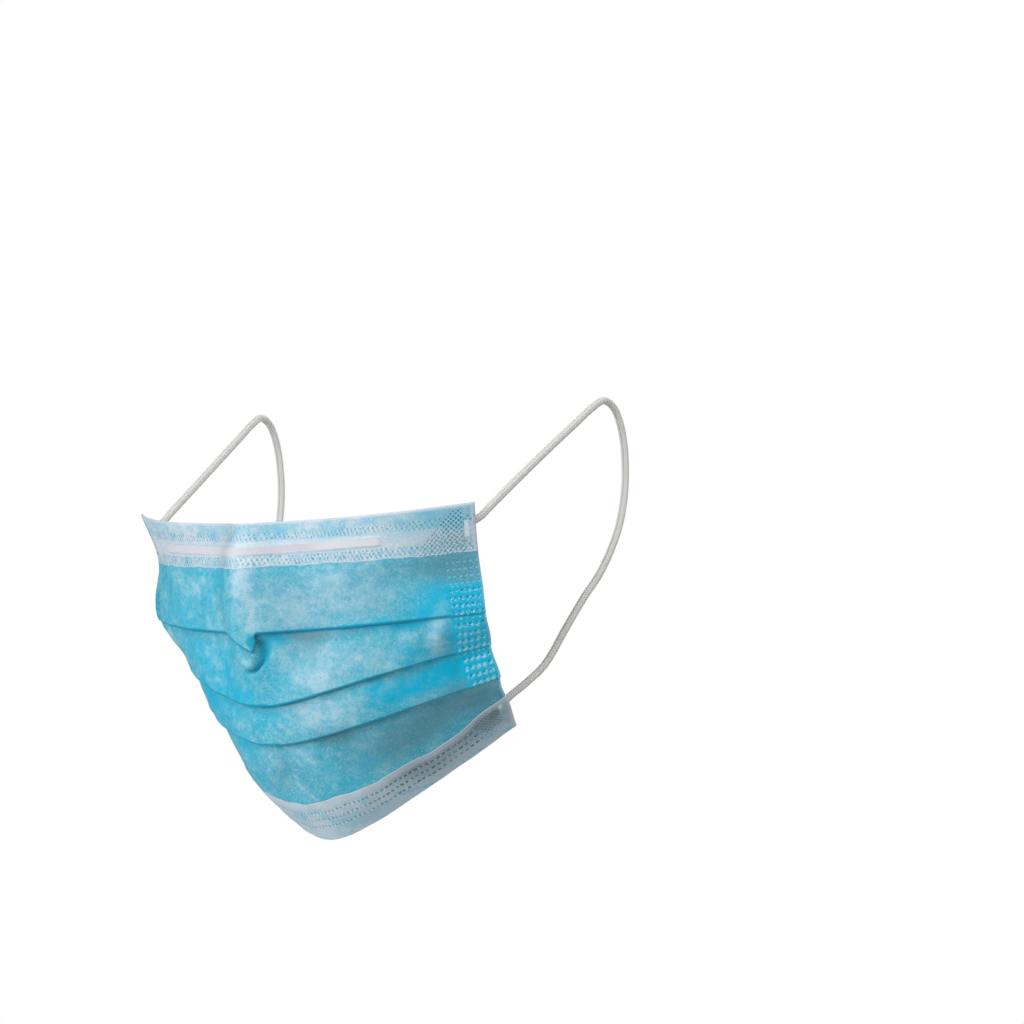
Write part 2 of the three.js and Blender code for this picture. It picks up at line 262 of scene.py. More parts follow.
def add_camera():
    back, right, up = camera_axes()
    middle = FRAME_PIXELS / 2
    aim = right * ((middle - BRIDGE_PIXEL[0]) / PIXELS_PER_METRE)
    aim += up * ((BRIDGE_PIXEL[1] - middle) / PIXELS_PER_METRE)
    data = bpy.data.cameras.new("camera")
    data.sensor_width = SENSOR_WIDTH
    data.lens = PIXELS_PER_METRE * CAMERA_DISTANCE / FRAME_PIXELS * SENSOR_WIDTH
    data.clip_end = VIEW_REACH
    camera = bpy.data.objects.new("camera", data)
    camera.matrix_world = Matrix.Translation(aim + back * CAMERA_DISTANCE) @ Matrix(
        (
            (right.x, up.x, back.x, 0.0),
            (right.y, up.y, back.y, 0.0),
            (right.z, up.z, back.z, 0.0),
            (0.0, 0.0, 0.0, 1.0),
        )
    )
    bpy.context.scene.collection.objects.link(camera)
    bpy.context.scene.camera = camera


# The worn surface


def smooth(value, low, high):
    share = np.clip((value - low) / (high - low), 0.0, 1.0)
    return share * share * (3.0 - 2.0 * share)


def bump(value, centre, width):
    return np.exp(-(((value - centre) / width) ** 2))


def hermite(share, here, leave, there, arrive):
    """A smooth curve from here to there with these slopes at its ends."""
    return (
        (2 * share**3 - 3 * share**2 + 1) * here
        + (share**3 - 2 * share**2 + share) * leave
        + (3 * share**2 - 2 * share**3) * there
        + (share**3 - share**2) * arrive
    )


def ease(across, power):
    start = SOFT_TIP**power
    end = (1.0 + SOFT_TIP**2) ** (power / 2)
    return ((across**2 + SOFT_TIP**2) ** (power / 2) - start) / (end - start)


def row_points(row, across):
    mid_y, mid_z, edge_x, edge_y, edge_z, bend, climb, nose, nose_width = ROWS[row]
    x = edge_x * across
    y = mid_y + nose * (1.0 - bump(x, 0.0, nose_width))
    y = y + (edge_y - mid_y - nose) * ease(across, bend)
    z = mid_z + (edge_z - mid_z) * ease(across, climb)
    return np.stack([x, y, z], -1) * MM


def soft_relief(across, level):
    """Low, broad unevenness of the worn cloth, in metres inwards."""
    side = across * HALF_WIDTH / MM
    relief = 0.4 * np.sin(side * 0.16 + level * 2.1) * np.sin(level * 2.9 + 0.7)
    relief += 0.25 * np.sin(side * 0.31 - level * 3.7 + 1.0)
    relief += 0.18 * np.sin(side * 0.52 + level * 5.3 + 2.0) * np.cos(side * 0.11)
    puff = PUFF_HEIGHT * bump(side, PUFF_MIDDLE[0], PUFF_HALF[0])
    puff = puff * bump(level, PUFF_MIDDLE[1], PUFF_HALF[1])
    return (relief * smooth(level, 1.0, 1.6) - puff) * MM


def around_pinch(side, level):
    """Distance and turn, in mm and degrees, round the middle of the small buckle by the nose."""
    below = np.maximum(level - FIRST_FOLD, -0.3)
    down = FIRST_FOLD_DOWN + 22.0 * below + 16.0 * below**2 - PINCH_MIDDLE[1]
    right = side - PINCH_MIDDLE[0]
    return np.hypot(right, down), np.degrees(np.arctan2(down, right))


def pinch_limits(angle):
    """Where the buckle's hollow starts and ends, and how strong it is, at each angle."""
    inner = 7.2 + 5.3 * smooth(angle, -10.0, 75.0)
    outer = np.maximum(15.0 - 1.6 * smooth(angle, 15.0, 80.0), inner + 2.8)
    strength = smooth(angle, -6.0, 10.0) * (1.0 - smooth(angle, 74.0, 97.0))
    return inner, outer, strength


def pinch(across, level):
    """The small buckle beside the nose, under the first fold, in metres inwards."""
    reach, angle = around_pinch(across * HALF_WIDTH / MM, level)
    inner, outer, strength = pinch_limits(angle)
    fall = smooth(reach, inner - 0.9, inner + 1.3)
    hollow = PINCH_DEPTH * fall * (1.0 - smooth(reach, inner + 1.4, outer + 0.4))
    lip = smooth(reach, inner - 3.4, inner - 0.9) * (1.0 - fall) * smooth(angle, 20.0, 45.0)
    return (hollow - lip) * strength * MM


def surface(across, level, buckled=True):
    """Points of the surface through all rows, with or without the buckle beside the nose."""
    across, level = np.broadcast_arrays(across, level)
    last = len(ROWS) - 1
    rows = np.stack([row_points(row, across) for row in range(last + 1)], 0)
    start = np.clip(np.floor(level).astype(int), 0, last - 1)
    share = (level - start)[..., None]

    def pick(index):
        inside = np.clip(index, 0, last)[None, ..., None]
        return np.take_along_axis(rows, np.broadcast_to(inside, (1, *rows.shape[1:])), 0)[0]

    before, here, there, after = (pick(start + step) for step in (-1, 0, 1, 2))
    first = (start == 0)[..., None]
    final = (start == last - 1)[..., None]
    leave = np.where(first, there - here, (there - before) / 2)
    arrive = np.where(final, there - here, (after - here) / 2)
    points = hermite(share, here, leave, there, arrive)
    points[..., 1] += soft_relief(across, level)
    if buckled:
        points[..., 1] += pinch(across, level)
    return points


class Columns:
    """Cross-sections of the mask at the given places, measured down along the surface."""

    STEPS = 60  # marks between two rows

    def __init__(self, across):
        self.across = np.asarray(across, float)
        self.side = self.across * HALF_WIDTH / MM
        last = len(ROWS) - 1
        self.levels = np.linspace(0.0, last, last * self.STEPS + 1)
        points = surface(self.across[:, None], self.levels[None, :])
        steps = np.linalg.norm(np.diff(points, axis=1), axis=-1)
        start = np.zeros((len(self.across), 1))
        self.marks = np.concatenate([start, np.cumsum(steps, axis=1)], 1)
        self.length = self.marks[:, -1]

    def distance_to(self, row):
        return self.marks[:, row * self.STEPS]

    def level_at(self, distance):
        return np.stack(
            [np.interp(d, marks, self.levels) for d, marks in zip(distance, self.marks)]
        )

    def place(self, distance, offset):
        """Points this far down the cloth and this far out of it; one line of them a column.

        Out is measured without the buckle, so the layers of a pleat stay clear of each other.
        """
        inside = np.clip(distance, 0.0, self.length[:, None])
        level = self.level_at(inside)
        across = self.across[:, None]
        step = 0.01
        last = len(ROWS) - 1
        above = surface(across, np.maximum(level - step, 0.0), False)
        below = surface(across, np.minimum(level + step, float(last)), False)
        down = below - above
        down /= np.linalg.norm(down, axis=-1, keepdims=True)
        over = surface(across + step, level, False) - surface(across - step, level, False)
        out = np.cross(down, over)
        out /= np.linalg.norm(out, axis=-1, keepdims=True)
        points = surface(across, level)
        return points + down * (distance - inside)[..., None] + out * offset[..., None]


def across_values(count):
    """Places from one side edge to the other, closer together at the nose and its buckle."""
    even = np.linspace(0.0, 1.0, count)
    return np.interp(even, COLUMN_SHARES, COLUMN_PLACES)


# Paths of the folded cloth: distance down the cloth and offset out of it, for every column


def run(start, end, count, low, high):
    """count steps from start to end, without the last, and the offsets between low and high."""
    share = np.linspace(0.0, 1.0, count, endpoint=False)[None, :]
    distance = start[:, None] + (end - start)[:, None] * share
    offset = low[:, None] + (high - low)[:, None] * share
    return distance, offset


def turn(distance, offset, radius, start_angle, direction, count=FOLD_LINES):
    """A half circle in the plane of distance and offset."""
    angle = np.radians(start_angle) + direction * np.linspace(0.0, math.pi, count)[None, :]
    return (
        distance[:, None] + radius[:, None] * np.cos(angle),
        offset[:, None] + radius[:, None] * np.sin(angle),
    )


def joined(pieces):
    return [np.concatenate([piece[axis] for piece in pieces], 1) for axis in (0, 1)]


def layer_pitch(columns):
    edge = (1.0 - np.abs(columns.across)) * HALF_WIDTH
    free = smooth(edge, WELD_WIDTH, WELD_WIDTH + WELD_FADE)
    return WELDED_PITCH + (LAYER_PITCH - WELDED_PITCH) * free


def fold_line(columns, row):
    """The distance down to a fold, with the small beak of the first one at the nose."""
    line = columns.distance_to(row)
    if row == FIRST_FOLD:
        beak = smooth(columns.side, *BEAK_SETS_IN) ** 1.3
        beak = beak * (1.0 - smooth(columns.side, *BEAK_ENDS))
        line = line + BEAK_DEPTH * beak
    return line


def pillow(share):
    """Panels stand a little proud between their folds."""
    return PILLOW * np.sin(np.pi * share) ** 1.5


def cloth_path(columns):
    """Middle line of the folded cloth, and for each point the limits of its panel.

    The limits are the fold above, the fold below, the height of a row of the weld grid, and
    whether the point is on the visible face.
    """
    zero = np.zeros(len(columns.across))
    pitch = layer_pitch(columns)
    pieces = []
    limits = []

    def add(piece, panel, shown=1.0):
        limit = np.stack([*panel, zero + shown], -1)[:, None]
        pieces.append(piece)
        limits.append(np.broadcast_to(limit, (*piece[0].shape, 4)))

    start, sunk = zero, zero
    for (row, middle, side), count, height in zip(PLEATS, PANEL_LINES, WELD_ROWS):
        fold = fold_line(columns, row)
        depth = middle + (side - middle) * columns.across**2
        bend = np.minimum(FOLD_RADIUS, pitch / 2 + 0.12 * MM)
        crease = columns.distance_to(row) - depth
        face = sunk * (fold - crease) / (fold - start)
        distance, offset = run(start, fold - bend, count, sunk, zero)
        share = np.clip((distance - start[:, None]) / (fold - start)[:, None], 0.0, 1.0)
        offset = offset + pillow(share)
        panel = (start, fold, zero + height)
        add((distance, offset), panel)
        add(turn(fold - bend, -bend, bend, 90, -1), panel)
        inner = crease + pitch / 2
        add(run(fold - bend, inner, CREASE_LINES, -2 * bend, face - pitch), panel, 0.0)
        turned = turn(inner, face - 1.5 * pitch, pitch / 2, 90, 1, INNER_FOLD_LINES)
        add(turned, panel, 0.0)
        add(run(inner, fold, CREASE_LINES, face - 2 * pitch, -2 * pitch), panel, 0.0)
        start, sunk = fold, -2 * pitch
    end = columns.length
    hem = columns.distance_to(BOTTOM_HEM_ROW)
    panel = (start, end, zero)
    add(run(start, hem, LAST_PANEL_LINES[0], sunk, zero), panel)
    add(run(hem, end, LAST_PANEL_LINES[1], zero, zero), panel)
    add((end[:, None], zero[:, None]), panel)
    return (*joined(pieces), np.concatenate(limits, 1))


def wire_line(columns):
    """The distance down to the middle of the wire, which sags a little at the nose."""
    sag = WIRE_SAG * bump(columns.across * HALF_WIDTH, 0.0, WIRE_SAG_REACH)
    return columns.distance_to(TOP_HEM_ROW) * (WIRE_PLACE + sag)


def hem_edge(columns, row):
    """The free edge of a hem, which isn't quite straight."""
    side = columns.side
    if row == TOP_HEM_ROW:
        wave = 0.12 * np.sin(side * 0.83) + 0.16 * np.sin(side * 0.27 + 1.0)
    else:
        wave = 0.45 * np.sin(side * 0.21 + 0.6) + 0.16 * np.sin(side * 0.55)
        wave = wave - 1.9 * smooth(side, 70.0, 84.0)
    return columns.distance_to(row) + wave * MM


def around_edge(columns, row, edge, direction, lines):
    """A hem's free edge, and its path: the front leaf, the turn round the edge, the back leaf."""
    free = hem_edge(columns, row)
    lift = np.full_like(free, HEM_LIFT)
    near = edge + direction * lift
    back = free - direction * HEM_SHORTER
    return free, [
        run(free, near, lines, lift, lift),
        turn(near, np.zeros_like(free), lift, 90, direction),
        run(near, back, HEM_BACK_LINES, -lift, -lift),
        (back[:, None], -lift[:, None]),
    ]


def top_hem_path(columns):
    """Middle line of the top hem with the ridge over the wire, and where the wire shows."""
    free, pieces = around_edge(columns, TOP_HEM_ROW, 0.0, 1, TOP_HEM_LINES)
    distance, offset = pieces[0]
    near = np.abs(distance - wire_line(columns)[:, None])
    past = (np.abs(columns.across) * HALF_WIDTH - WIRE_REACH)[:, None]
    ridge = 1.0 - smooth(near, WIRE_WIDTH / 2 - 0.2 * MM, WIRE_WIDTH / 2 + 0.5 * MM)
    ridge = ridge * (1.0 - smooth(past, 0.2 * MM, 1.6 * MM))
    pieces[0] = (distance, offset + WIRE_THICKNESS * ridge)
    shown = 1.0 - smooth(near, WIRE_WIDTH / 2 - 0.6 * MM, WIRE_WIDTH / 2 - 0.2 * MM)
    shown = shown * (1.0 - smooth(past, -0.4 * MM, 0.4 * MM))
    distance, offset = joined(pieces)
    wire = np.zeros_like(distance)
    wire[:, : shown.shape[1]] = shown
    return distance, offset, np.zeros_like(free), free, wire


def bottom_hem_path(columns):
    """Middle line of the bottom hem."""
    end = columns.length
    free, pieces = around_edge(columns, BOTTOM_HEM_ROW, end, -1, BOTTOM_HEM_LINES)
    distance, offset = joined(pieces)
    return distance, offset, free, end, np.zeros_like(distance)


# Meshes


def link(name, mesh):
    for polygon in mesh.polygons:
        polygon.use_smooth = True
    piece = bpy.data.objects.new(name, mesh)
    bpy.context.scene.collection.objects.link(piece)
    return piece


def add_attribute(mesh, name, values):
    attribute = mesh.attributes.new(name, "FLOAT_VECTOR", "POINT")
    attribute.data.foreach_set("vector", np.ascontiguousarray(values, np.float32).ravel())


def grid_normals(points):
    down = np.gradient(points, axis=1)
    over = np.gradient(points, axis=0)
    normals = np.cross(down, over)
    return normals / np.linalg.norm(normals, axis=-1, keepdims=True)


def shell(name, points, thickness, attributes):
    """A closed sheet of even thickness round a grid of points; attributes hold a vector a point.

    The attribute "face" is 1 on the inner side of the mask.
    """
    columns, lines = points.shape[:2]
    normals = grid_normals(points)
    outer = points + normals * thickness / 2
    inner = points - normals * thickness / 2
    size = columns * lines
    index = np.arange(size).reshape(columns, lines)
    a, b = index[:-1, :-1], index[:-1, 1:]
    c, d = index[1:, 1:], index[1:, :-1]
    front = np.stack([a, b, c, d], -1).reshape(-1, 4)
    back = np.stack([d, c, b, a], -1).reshape(-1, 4) + size
    rim = np.concatenate([index[0, :], index[1:, -1], index[-1, -2::-1], index[-2:0:-1, 0]])
    following = np.roll(rim, -1)
    sides = np.stack([following, rim, rim + size, following + size], -1)
    mesh = bpy.data.meshes.new(name)
    vertices = np.concatenate([outer.reshape(-1, 3), inner.reshape(-1, 3)])
    mesh.from_pydata(vertices.tolist(), [], np.concatenate([front, back, sides]).tolist())
    add_attribute(mesh, "place", vertices / MM)
    for key, values in attributes.items():
        flat = values.reshape(-1, 3)
        add_attribute(mesh, key, np.concatenate([flat, flat]))
    if "face" not in attributes:
        face = np.zeros((2 * size, 3))
        face[size:] = 1.0
        add_attribute(mesh, "face", face)
    mesh.update()
    return link(name, mesh)


def side_of(columns, distance):
    """Millimetres from the middle, for every point."""
    return np.broadcast_to(columns.side[:, None], distance.shape)


def cloth_attribute(columns, distance):
    """Millimetres across and down the cloth."""
    side = side_of(columns, distance)
    return np.stack([side, distance / MM, np.zeros_like(distance)], -1)


def tint_and_light_attribute(columns, distance, tints_and_light):
    """How much paler, deeper and greyer each point is made, as uneven tone and as painted
    highlights and painted shade.
    """
    side = side_of(columns, distance)
    amounts = np.zeros((*distance.shape, 3))
    for index, kind in enumerate(("paler", "deeper", "greyer")):
        for middle, down, half_width, half_height, amount in tints_and_light[kind]:
            spot = bump(side, middle, half_width) * bump(distance / MM, down, half_height)
            amounts[..., index] += amount * spot
    return np.clip(amounts, 0.0, 1.0)


def under_beak_shade(columns, distance):
    """Painted shade where the beak of the first fold curls under, on the panel above it."""
    side = side_of(columns, distance)
    down = (distance - columns.distance_to(PLEATS[0][0])[:, None]) / MM
    above = np.maximum(2.8 - 1.5 * (side - 3.2), 0.3)
    below = 2.8 + 2.0 * (side - 3.2)
    inside = smooth(down - above, -0.3, 0.3) * smooth(below - down, -0.3, 0.3)
    return inside * smooth(side, 3.0, 3.6)


def panel_attributes(columns, distance, limits):
    """The panel's own measures: the weld grid, the folds, the places with another tint, some of
    them painted light, and where the buckle's hollow and the curl under the beak get painted
    shade.
    """
    start, fold, row_height, shown = np.moveaxis(limits, -1, 0)
    edge = HALF_WIDTH / MM - np.abs(side_of(columns, distance))
    welded = row_height > 0
    rows = np.where(welded, (fold - distance) / np.where(welded, row_height, 1.0), 99.0)
    width = np.zeros_like(distance)
    for height, reach in zip(WELD_ROWS, WELD_REACH):
        width[row_height == height] = reach
    above = np.where(welded, (fold - distance) / MM, 99.0)
    below = np.where(start > 0, (distance - start) / MM, 99.0)
    cloth = cloth_attribute(columns, distance)
    level = columns.level_at(np.clip(distance, 0.0, columns.length[:, None]))
    reach, angle = around_pinch(cloth[..., 0], level)
    inner, outer, strength = pinch_limits(angle)
    # Painted shade: where the buckle's hollow and the curl under the beak lie in shadow, to be
    # coloured a deep teal
    hollow = smooth(reach, inner - 0.3, inner + 0.6) * strength * (shown > 0.5) * (start > 0)
    hollow = hollow * (1.0 - smooth(reach, 0.35 * inner + 0.65 * outer, outer - 0.2))
    hollow = np.where(start > 0, hollow, under_beak_shade(columns, distance))
    return {
        "cloth": cloth,
        "hollow": np.stack([hollow] * 3, -1),
        "weld": np.stack([edge, rows, width], -1),
        "fold": np.stack([above, below, shown], -1),
        "tint": tint_and_light_attribute(columns, distance, PANEL_TINTS_AND_LIGHT),
    }


def hem_attributes(columns, distance, start, end, wire, tints_and_light):
    """The distance to the side edge, the share of the hem's width, and where the wire shows."""
    edge = HALF_WIDTH / MM - np.abs(side_of(columns, distance))
    share = (distance - start[:, None]) / (end - start)[:, None]
    return {
        "cloth": cloth_attribute(columns, distance),
        "weld": np.stack([edge, share, wire], -1),
        "tint": tint_and_light_attribute(columns, distance, tints_and_light),
    }


# Materials


class Nodes:
    """Short names for building one material's node tree, and the colour that it has so far."""

    def __init__(self, name):
        self.material = bpy.data.materials.new(name)
        self.material.use_nodes = True
        self.tree = self.material.node_tree
        self.shader = self.tree.nodes["Principled BSDF"]
        self.colour = None

    def node(self, kind, **settings):
        made = self.tree.nodes.new(kind)
        for key, value in settings.items():
            setattr(made, key, value)
        return made

    def feed(self, socket, value):
        if isinstance(value, bpy.types.NodeSocket):
            self.tree.links.new(value, socket)
        else:
            socket.default_value = value

    def math(self, operation, a, b=0.0, c=0.0):
        made = self.node("ShaderNodeMath", operation=operation)
        for socket, value in zip(made.inputs, (a, b, c)):
            self.feed(socket, value)
        return made.outputs[0]

    def plus(self, a, b):
        return self.math("ADD", a, b)

    def minus(self, a, b):
        return self.math("SUBTRACT", a, b)

    def over(self, a, b):
        return self.math("DIVIDE", a, b)

    def scaled(self, value, factor, extra):
        """value times factor, plus extra."""
        return self.math("MULTIPLY_ADD", value, factor, extra)

    def times(self, *values):
        product = values[0]
        for value in values[1:]:
            product = self.math("MULTIPLY", product, value)
        return product

    def larger(self, *values):
        largest = values[0]
        for value in values[1:]:
            largest = self.math("MAXIMUM", largest, value)
        return largest

    def ramp(self, value, low, high, start=0.0, end=1.0):
        """start at low, end at high, smooth between; low may be the larger one."""
        made = self.node("ShaderNodeMapRange", interpolation_type="SMOOTHSTEP")
        if low > high:
            low, high, start, end = high, low, end, start
        for socket, entry in zip(made.inputs, (value, low, high, start, end)):
            self.feed(socket, entry)
        return made.outputs[0]

    def band(self, value, low, high, soft):
        """1 between low and high."""
        return self.times(self.ramp(value, low - soft, low), self.ramp(value, high + soft, high))

    def from_middle(self, value):
        """Distance from the middle of the whole step of value."""
        return self.math("ABSOLUTE", self.minus(self.math("FRACT", value), 0.5))

    def pulse(self, value, width, soft=0.12):
        """1 in the middle of every whole step of value, over this share of the step."""
        return self.ramp(self.from_middle(value), width / 2 + soft / 2, width / 2 - soft / 2)

    def wave(self, value, pitch):
        return self.math("SINE", self.times(value, 2 * math.pi / pitch))

    def lattice(self, u, v, pitch, low, high):
        """Dots in staggered rows half a pitch apart; the pitch is a pair."""
        return self.ramp(self.times(self.wave(u, pitch[0]), self.wave(v, pitch[1])), low, high)

    def round_spot(self, u, v, middle, half):
        """1 inside an oval with this middle and these half widths, soft at its rim."""
        beside = self.over(self.minus(u, middle[0]), half[0])
        along = self.over(self.minus(v, middle[1]), half[1])
        reach = self.plus(self.times(beside, beside), self.times(along, along))
        return self.ramp(reach, 1.3, 0.7)

    def mix(self, share, a, b):
        made = self.node("ShaderNodeMix", data_type="RGBA")
        for index, value in ((0, share), (6, a), (7, b)):
            self.feed(made.inputs[index], value)
        return made.outputs[2]

    def coat(self, tone, *shares):
        """Lay a tone over the colour, as strongly as these shares say when multiplied."""
        self.colour = self.mix(self.times(*shares), self.colour, tone)

    def attribute(self, name):
        """The three numbers of a stored attribute, and all of them as a vector."""
        stored = self.node("ShaderNodeAttribute", attribute_name=name)
        split = self.node("ShaderNodeSeparateXYZ")
        self.feed(split.inputs[0], stored.outputs["Vector"])
        return split.outputs[0], split.outputs[1], split.outputs[2], stored.outputs["Vector"]

    def noise(self, vector, scale, detail=2.0, roughness=0.5, stretch=(1.0, 1.0, 1.0)):
        mapped = self.node("ShaderNodeMapping")
        self.feed(mapped.inputs["Vector"], vector)
        self.feed(mapped.inputs["Scale"], stretch)
        made = self.node("ShaderNodeTexNoise")
        self.feed(made.inputs["Vector"], mapped.outputs[0])
        self.feed(made.inputs["Scale"], scale)
        self.feed(made.inputs["Detail"], detail)
        self.feed(made.inputs["Roughness"], roughness)
        return made.outputs["Fac"]

    def finish(self, height, relief, roughness, sheen):
        """The colour, a bump of this relief in metres, and the settings that are even all over."""
        bump_node = self.node("ShaderNodeBump")
        self.feed(bump_node.inputs["Strength"], 1.0)
        self.feed(bump_node.inputs["Distance"], relief)
        self.feed(bump_node.inputs["Height"], height)
        self.feed(self.shader.inputs["Base Color"], self.colour)
        self.feed(self.shader.inputs["Normal"], bump_node.outputs[0])
        self.shader.inputs["Roughness"].default_value = roughness
        self.shader.inputs["Sheen Weight"].default_value = sheen
        self.shader.inputs["Sheen Roughness"].default_value = SHEEN_ROUGHNESS
        self.shader.inputs["Specular IOR Level"].default_value = SPECULAR_LEVEL
        return self.material


def srgb(red, green, blue):
    """A colour given as 0 to 255 on a screen, as linear light."""
    linear = []
    for value in (red, green, blue):
        share = value / 255.0
        linear.append(share / 12.92 if share <= 0.04045 else ((share + 0.055) / 1.055) ** 2.4)
    return (*linear, 1.0)


DEEP_BLUE = srgb(14, 166, 198)
MID_BLUE = srgb(92, 183, 206)
PALE_BLUE = srgb(164, 207, 221)
# Chalk blue is also used for painted highlights, grey blue for painted shade, strong blue for the
# teal of painted fold shadows; lip and hollow blues are painted shade
CHALK_AND_HIGHLIGHT_BLUE = srgb(180, 209, 225)
GREY_AND_SHADE_BLUE = srgb(80, 132, 148)
STRONG_AND_SHADOW_BLUE = srgb(0, 178, 216)
LIP_SHADE_BLUE = srgb(0, 154, 187)
HOLLOW_SHADE_BLUE = srgb(14, 164, 194)
# Weld blues: the lit one on the lower panels is brighter as painted light
WELD_DEEP = srgb(0, 174, 210)
WELD_LIT_BLUE = srgb(0, 194, 234)
MARK_DARK = srgb(48, 92, 142)
MARK_PALE = srgb(164, 232, 250)
HEM_SHADE = srgb(116, 184, 208)
HEM_BLUE = srgb(161, 196, 212)
HEM_PALE = srgb(198, 208, 218)
HEM_GREY = srgb(184, 202, 212)
DOT_DARK = srgb(88, 148, 172)
DOT_PALE = srgb(222, 241, 248)
HATCH_DARK = srgb(44, 116, 150)
DASH_DARK = srgb(58, 96, 110)
DASH_GREY = srgb(112, 136, 148)
HEM_DULL = srgb(140, 172, 186)
HEM_TEAL = srgb(84, 124, 132)
EDGE_PALE = srgb(212, 216, 228)
WIRE_PINK = srgb(208, 206, 213)
WIRE_DULL = srgb(198, 194, 203)
WIRE_PALE = srgb(210, 211, 214)
COATING_PALE = srgb(225, 220, 226)
COATING_DULL = srgb(206, 200, 208)
INNER_WHITE = srgb(224, 230, 233)
CORD_WHITE = srgb(244, 243, 239)
CORD_SHADE = srgb(196, 196, 193)
FLOOR_WHITE = srgb(245, 245, 245)

# The tones of each cloth: its paler, deeper and greyer places, which are also painted highlights
# and painted shade in places, its light and its dark grain
PANEL_TONES = (CHALK_AND_HIGHLIGHT_BLUE, STRONG_AND_SHADOW_BLUE, GREY_AND_SHADE_BLUE, PALE_BLUE, DEEP_BLUE)
TOP_HEM_TONES = (DOT_PALE, HEM_SHADE, HEM_DULL, DOT_PALE, HEM_SHADE)
BOTTOM_HEM_TONES = (HEM_PALE, HEM_SHADE, DASH_GREY, DOT_PALE, HEM_SHADE)


def nonwoven(net, cloth):
    """Cloudiness from large to small, and the grain: specks, fibres and a lattice of bonds."""
    side, down, _, flat = cloth
    place = net.attribute("place")[3]
    clouds = net.noise(flat, 0.06, 1.0, 0.5, (1.0, 1.25, 1.0))
    patches = net.noise(flat, 0.26, 1.0, 0.6, (0.7, 1.2, 1.0))
    streaks = net.noise(place, 0.36, 2.0, 0.6)
    mottle = net.noise(place, 0.75, 3.0, 0.7)
    specks = net.noise(place, 1.25, 2.0, 0.7)
    fibres = net.noise(place, 2.4, 1.0, 0.6)
    bonds = net.lattice(side, down, BOND_PITCH, 0.1, 0.9)
    shade = net.scaled(patches, 0.28, net.times(clouds, 0.3))
    shade = net.scaled(streaks, 0.2, shade)
    shade = net.scaled(mottle, 0.22, shade)
    return shade, (specks, fibres, bonds)


def add_tints_and_light(net, shade, grain, tones, amount):
    """The places that the tint attribute makes paler, deeper or greyer, as uneven tone and as
    painted highlights and painted shade, and the fine grain.
    """
    specks, fibres, bonds = grain
    pale, deep, grey, light, dark = tones
    paler, deeper, greyer, _ = net.attribute("tint")
    net.coat(grey, greyer, 0.85)
    net.coat(pale, paler, net.ramp(shade, 0.41, 0.55, 0.45, 1.0))
    plainer = net.ramp(greyer, 0.2, 1.0, amount, amount * 0.45)
    net.coat(light, net.ramp(specks, 0.5, 0.72), plainer)
    net.coat(dark, net.ramp(specks, 0.5, 0.28), plainer)
    net.coat(light, bonds, net.ramp(fibres, 0.3, 0.7), plainer, 0.7)
    net.coat(deep, deeper, net.ramp(shade, 0.57, 0.44, 0.75, 1.0))


